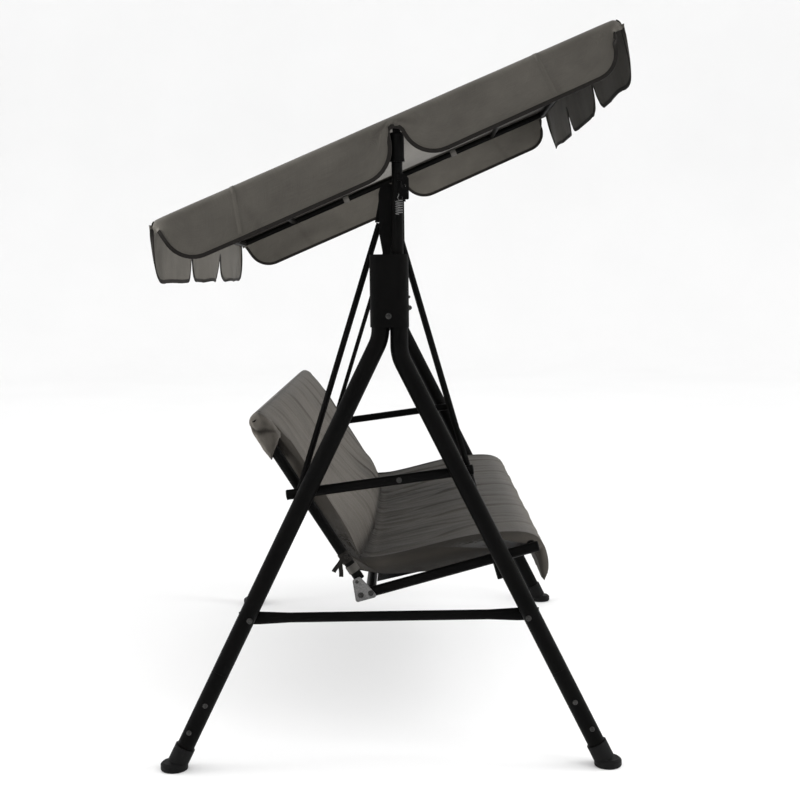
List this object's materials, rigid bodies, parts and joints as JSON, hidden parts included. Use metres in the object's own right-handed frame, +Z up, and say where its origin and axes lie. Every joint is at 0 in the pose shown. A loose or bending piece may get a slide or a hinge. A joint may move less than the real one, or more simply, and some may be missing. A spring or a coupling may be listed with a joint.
{
  "type": "canopy swing bench",
  "caption": "Free-standing garden swing: tube A-frames and a top beam carry a hanging padded bench with armrests, under a tilting fabric canopy with scalloped valances.",
  "frame": {"origin": "on the ground, under the middle of the frame", "axes": "+X along the bench, towards the sitter's left; the bench faces -Y; +Z up"},
  "size_m": [1.685, 1.1153, 1.7309],
  "materials": {
    "black_powder_coat": "satin black powder coat",
    "zinc_plate": "zinc plated",
    "black_plastic": "matt black moulded plastic",
    "grey_canopy_fabric": "warm dark grey woven polyester with dark binding",
    "grey_cushion_fabric": "warm dark grey woven polyester cushion cover",
    "black_sling_fabric": "black coated mesh"
  },
  "bodies": {
    "frame": {"right_front_leg_upper": "black_powder_coat", "right_front_leg_lower": "black_powder_coat", "right_front_foot": "black_plastic", "right_rear_leg_upper": "black_powder_coat", "right_rear_leg_lower": "black_powder_coat", "right_rear_foot": "black_plastic", "right_apex_collar": "black_powder_coat", "right_beam_bracket": "black_powder_coat", "right_side_crossbar": "black_powder_coat", "right_canopy_post": "black_powder_coat", "right_tilt_head": "black_powder_coat", "right_tilt_bolt": "black_powder_coat", "left_front_leg_upper": "black_powder_coat", "left_front_leg_lower": "black_powder_coat", "left_front_foot": "black_plastic", "left_rear_leg_upper": "black_powder_coat", "left_rear_leg_lower": "black_powder_coat", "left_rear_foot": "black_plastic", "left_apex_collar": "black_powder_coat", "left_beam_bracket": "black_powder_coat", "left_side_crossbar": "black_powder_coat", "left_canopy_post": "black_powder_coat", "left_tilt_head": "black_powder_coat", "left_tilt_bolt": "black_powder_coat", "top_beam": "black_powder_coat", "catch_spring": "zinc_plate"},
    "swing": {"right_front_hanger": "black_powder_coat", "right_rear_hanger": "black_powder_coat", "right_hanger_hub": "black_powder_coat", "right_hanger_bush": "black_plastic", "right_seat_side_tube": "black_powder_coat", "right_back_side_tube": "black_powder_coat", "right_armrest": "black_powder_coat", "right_corner_plate": "zinc_plate", "left_front_hanger": "black_powder_coat", "left_rear_hanger": "black_powder_coat", "left_hanger_hub": "black_powder_coat", "left_hanger_bush": "black_plastic", "left_seat_side_tube": "black_powder_coat", "left_back_side_tube": "black_powder_coat", "left_armrest": "black_powder_coat", "left_corner_plate": "zinc_plate", "seat_front_tube": "black_powder_coat", "seat_rear_tube": "black_powder_coat", "back_top_tube": "black_powder_coat", "seat_sling": "black_sling_fabric", "seat_cushion": "grey_cushion_fabric", "back_cushion": "grey_cushion_fabric"},
    "canopy": {"right_canopy_rail": "black_powder_coat", "left_canopy_rail": "black_powder_coat", "front_canopy_rail": "black_powder_coat", "rear_canopy_rail": "black_powder_coat", "front_canopy_rib": "black_powder_coat", "rear_canopy_rib": "black_powder_coat", "canopy_cover": "grey_canopy_fabric", "right_valance": "grey_canopy_fabric", "left_valance": "grey_canopy_fabric"},
    "front_valance": {"front_valance": "grey_canopy_fabric"},
    "rear_valance": {"rear_valance": "grey_canopy_fabric"},
    "catch": {"tilt_catch": "black_powder_coat"}
  },
  "joints": [
    {"name": "swing", "type": "hinge", "parent": "frame", "child": "swing", "pos_m": [0, -0.01, 1.352], "axis": [1, 0, 0], "range_deg": [-20, 20]},
    {"name": "canopy_tilt", "type": "hinge", "parent": "frame", "child": "canopy", "pos_m": [0, -0.031, 1.509], "axis": [1, 0, 0], "range_deg": [0, 45]},
    {"name": "front_valance_hang", "type": "hinge", "parent": "canopy", "child": "front_valance", "pos_m": [0, -0.5249, 1.7146], "axis": [1, 0, 0], "range_deg": [-34, 0]},
    {"name": "rear_valance_hang", "type": "hinge", "parent": "canopy", "child": "rear_valance", "pos_m": [0, 0.5155, 1.2815], "axis": [1, 0, 0], "range_deg": [-34, 0]},
    {"name": "catch_pull", "type": "hinge", "parent": "frame", "child": "catch", "pos_m": [-0.8234, -0.037, 1.385], "axis": [1, 0, 0], "range_deg": [-8, 0], "stiffness_Nm_per_rad": 0.4, "deforming": ["catch_spring"]}
  ],
  "couplings": [
    {"joint": "front_valance_hang", "follows": "canopy_tilt", "ratio": -0.733},
    {"joint": "rear_valance_hang", "follows": "canopy_tilt", "ratio": -0.733}
  ]
}
